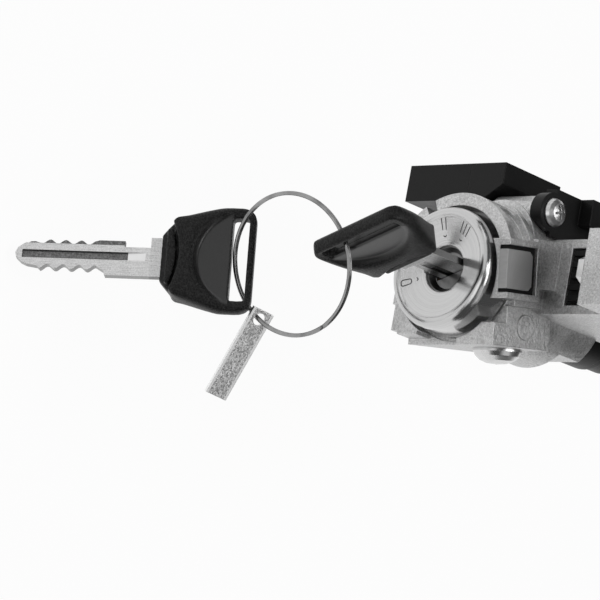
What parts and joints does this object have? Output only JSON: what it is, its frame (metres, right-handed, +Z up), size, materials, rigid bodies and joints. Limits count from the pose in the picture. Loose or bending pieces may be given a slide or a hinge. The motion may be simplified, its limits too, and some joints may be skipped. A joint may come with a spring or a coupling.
{
  "type": "ignition switch",
  "caption": "Die-cast steering-lock ignition switch with a marked round face, a plastic-headed key in the lock, and a split ring holding a spare key and a blank tag.",
  "frame": {"origin": "centre of the column clamp's bore", "axes": "+X along the column bore, to the right seen from the face; +Y back into the lock, so the face looks to -Y; +Z up, from the lock towards the column"},
  "size_m": [0.0852, 0.1562, 0.17],
  "materials": {
    "cast_metal": "cast, fine grain",
    "face_steel": "brushed round the axis",
    "plate_steel": "satin",
    "seal_rubber": "matt",
    "black_plastic": "fine grain",
    "head_plastic": "grained",
    "blade_nickel": "nickel, satin",
    "wire_steel": "polished",
    "tag_metal": "blasted",
    "brass": "drawn",
    "copper_wire": "enamelled wire",
    "steel": "plain",
    "bright_steel": "bright zinc",
    "plug_zinc": "zinc casting",
    "rotor_plastic": "moulded"
  },
  "bodies": {
    "housing": {"lock_housing": "cast_metal", "face_bezel": "face_steel", "window_plate": "plate_steel", "window_seal": "seal_rubber", "cylinder_sleeve": "brass", "sleeve_pin": "steel", "return_spring": "steel", "bolt_spring": "steel", "bolt_cover": "black_plastic", "clamp_cap": "cast_metal", "clamp_bolts": "bright_steel", "side_bolt": "bright_steel", "switch_case": "black_plastic", "switch_contacts": "brass", "switch_cover": "black_plastic", "switch_screws": "bright_steel", "interlock_case": "black_plastic", "interlock_cover": "black_plastic", "interlock_coil": "copper_wire", "plunger_spring": "steel", "module_bracket": "black_plastic", "module_screws": "bright_steel"},
    "plug": {"lock_plug": "plug_zinc", "wafer_tumblers": "brass", "wafer_springs": "steel", "drive_shaft": "steel", "shaft_clip": "steel", "switch_rotor": "rotor_plastic"},
    "key": {"key_blade": "blade_nickel", "key_head": "head_plastic"},
    "ring": {"key_ring": "wire_steel"},
    "spare_key": {"spare_blade": "blade_nickel", "spare_head": "head_plastic"},
    "tag": {"key_tag": "tag_metal"},
    "bolt": {"lock_bolt": "steel"},
    "plunger": {"interlock_plunger": "steel"}
  },
  "joints": [
    {"name": "plug_turn", "type": "hinge", "parent": "housing", "child": "plug", "pos_m": [0.0035, -0.026, -0.05], "axis": [0, 1, 0], "range_deg": [0, 135]},
    {"name": "key_pull", "type": "slide", "parent": "plug", "child": "key", "axis": [0, -1, 0], "range_m": [0, 0.042]},
    {"name": "ring_swing", "type": "hinge", "parent": "key", "child": "ring", "pos_m": [0.00549, -0.07975, -0.05533], "axis": [-0.8772, -0.3681, -0.3082], "range_deg": [-20, 20]},
    {"name": "spare_key_swing", "type": "hinge", "parent": "ring", "child": "spare_key", "pos_m": [0.01136, -0.08283, -0.09414], "axis": [0.9374, 0.3364, -0.0899], "range_deg": [-6, 6]},
    {"name": "tag_swing", "type": "hinge", "parent": "ring", "child": "tag", "pos_m": [0.02718, -0.07599, -0.0871], "axis": [0.5688, 0.3147, 0.7599], "range_deg": [-50, 12]},
    {"name": "bolt_slide", "type": "slide", "parent": "housing", "child": "bolt", "axis": [0, 0, 1], "range_m": [0, 0.008], "deforming": ["bolt_spring"]},
    {"name": "plunger_slide", "type": "slide", "parent": "housing", "child": "plunger", "axis": [0, 0, 1], "range_m": [0, 0.004], "stiffness_N_per_m": 120, "deforming": ["plunger_spring"]}
  ],
  "couplings": [
    {"joint": "bolt_slide", "follows": "key_pull", "ratio": 0.19048}
  ]
}
